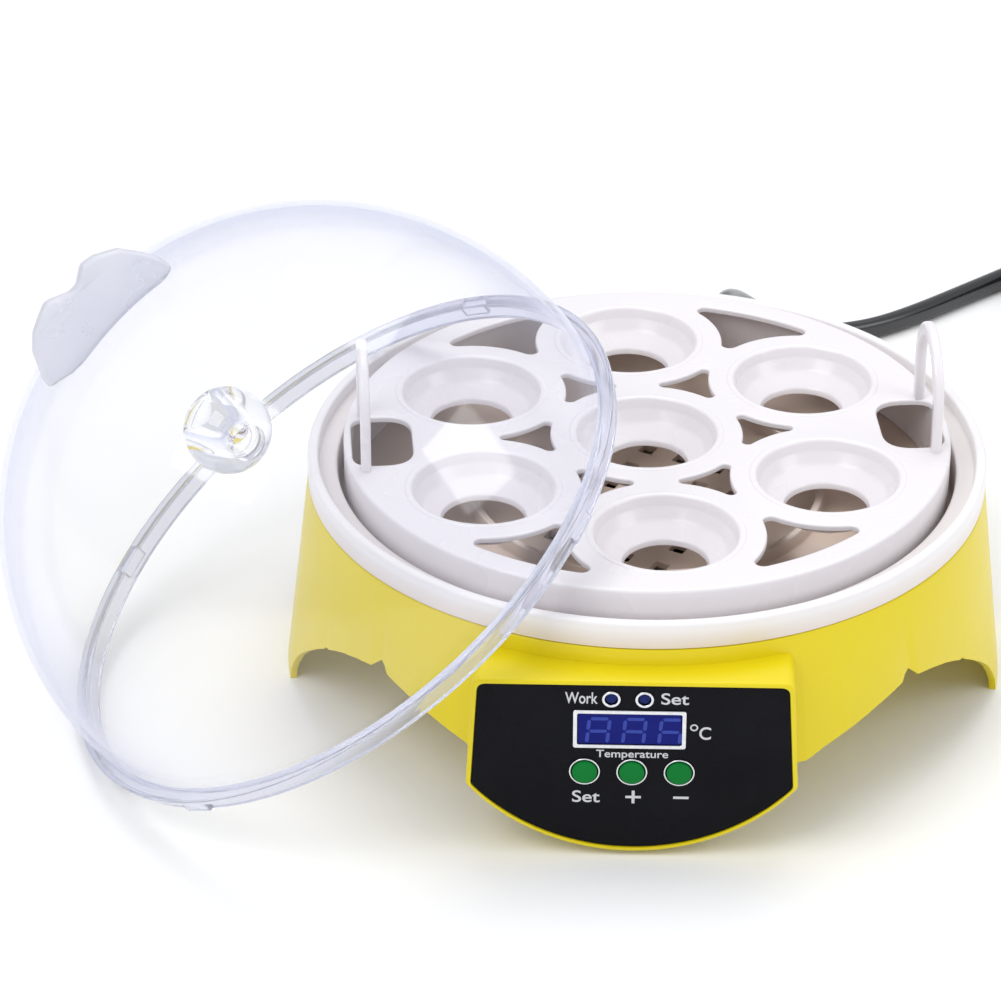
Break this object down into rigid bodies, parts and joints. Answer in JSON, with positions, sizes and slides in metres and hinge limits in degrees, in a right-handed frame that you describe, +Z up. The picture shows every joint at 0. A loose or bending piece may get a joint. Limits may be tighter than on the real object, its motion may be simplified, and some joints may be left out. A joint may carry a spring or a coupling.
{
  "type": "egg incubator",
  "caption": "Small round tabletop egg incubator: yellow base with a control panel, white egg tray with lifting loops, a clear dome lid leaning on its side, and a mains lead.",
  "frame": {"origin": "On the standing surface, at the middle of the round base", "axes": "+Z up, the control panel faces -Y, +X to the right of someone facing the panel"},
  "size_m": [0.5224, 0.4951, 0.1909],
  "materials": {
    "yellow_plastic": "moulded yellow ABS, satin gloss",
    "white_plastic": "moulded white ABS, satin gloss",
    "clear_plastic": "clear moulded acrylic, polished",
    "black_gloss": "printed glossy black panel",
    "silver_trim": "bright plated trim",
    "display_blue": "blue display window and lenses",
    "button_green": "green button caps",
    "circuit_board": "green circuit board",
    "dark_plastic": "black moulded plastic",
    "ceramic": "ceramic heater ring",
    "steel": "steel",
    "cord_black": "glossy black cable jacket",
    "brass": "brass pins"
  },
  "bodies": {
    "base": {"base_shell": "yellow_plastic", "bottom_cover": "yellow_plastic", "button_ring_minus": "silver_trim", "button_ring_plus": "silver_trim", "button_ring_set": "silver_trim", "control_board": "circuit_board", "control_panel": "black_gloss", "cord_coil": "cord_black", "cord_gland": "cord_black", "cover_screw_1": "steel", "cover_screw_2": "steel", "cover_screw_3": "steel", "cover_screw_4": "steel", "display_frame": "silver_trim", "display_module": "dark_plastic", "display_window": "display_blue", "fan_frame": "dark_plastic", "heater_ring": "ceramic", "led_ring_set": "silver_trim", "led_ring_work": "silver_trim", "led_set": "display_blue", "led_work": "display_blue", "liner": "white_plastic", "plug_body": "cord_black", "plug_pin_a": "brass", "plug_pin_b": "brass", "power_board": "circuit_board", "power_cord": "cord_black", "switch_minus": "dark_plastic", "switch_plus": "dark_plastic", "switch_set": "dark_plastic", "temperature_sensor": "steel"},
    "lid": {"dome_lid": "clear_plastic"},
    "vent_ball": {"vent_knob": "clear_plastic"},
    "tray": {"egg_tray": "white_plastic"},
    "fan_wheel": {"fan_rotor": "dark_plastic"},
    "set_key": {"button_set": "button_green"},
    "plus_key": {"button_plus": "button_green"},
    "minus_key": {"button_minus": "button_green"}
  },
  "joints": [
    {"name": "lid_tip", "type": "hinge", "parent": "base", "child": "lid", "pos_m": [-0.1929, -0.0637, 0], "axis": [0.2419, -0.9703, 0], "range_deg": [0, 30]},
    {"name": "vent_turn", "type": "hinge", "parent": "lid", "child": "vent_ball", "pos_m": [-0.13598, -0.11964, 0.15714], "axis": [0.7388, 0.3632, 0.5677], "range_deg": [-60, 0]},
    {"name": "tray_turn", "type": "hinge", "parent": "base", "child": "tray", "pos_m": [0, 0, 0.066], "axis": [0, 0, 1], "range_deg": [-10, 10]},
    {"name": "fan_spin", "type": "hinge", "parent": "base", "child": "fan_wheel", "pos_m": [0, 0, 0.057], "axis": [0, 0, 1], "continuous": true},
    {"name": "set_press", "type": "slide", "parent": "base", "child": "set_key", "axis": [0, 1, 0], "range_m": [0, 0.0006], "stiffness_N_per_m": 400},
    {"name": "plus_press", "type": "slide", "parent": "base", "child": "plus_key", "axis": [0, 1, 0], "range_m": [0, 0.0006], "stiffness_N_per_m": 400},
    {"name": "minus_press", "type": "slide", "parent": "base", "child": "minus_key", "axis": [0, 1, 0], "range_m": [0, 0.0006], "stiffness_N_per_m": 400}
  ]
}
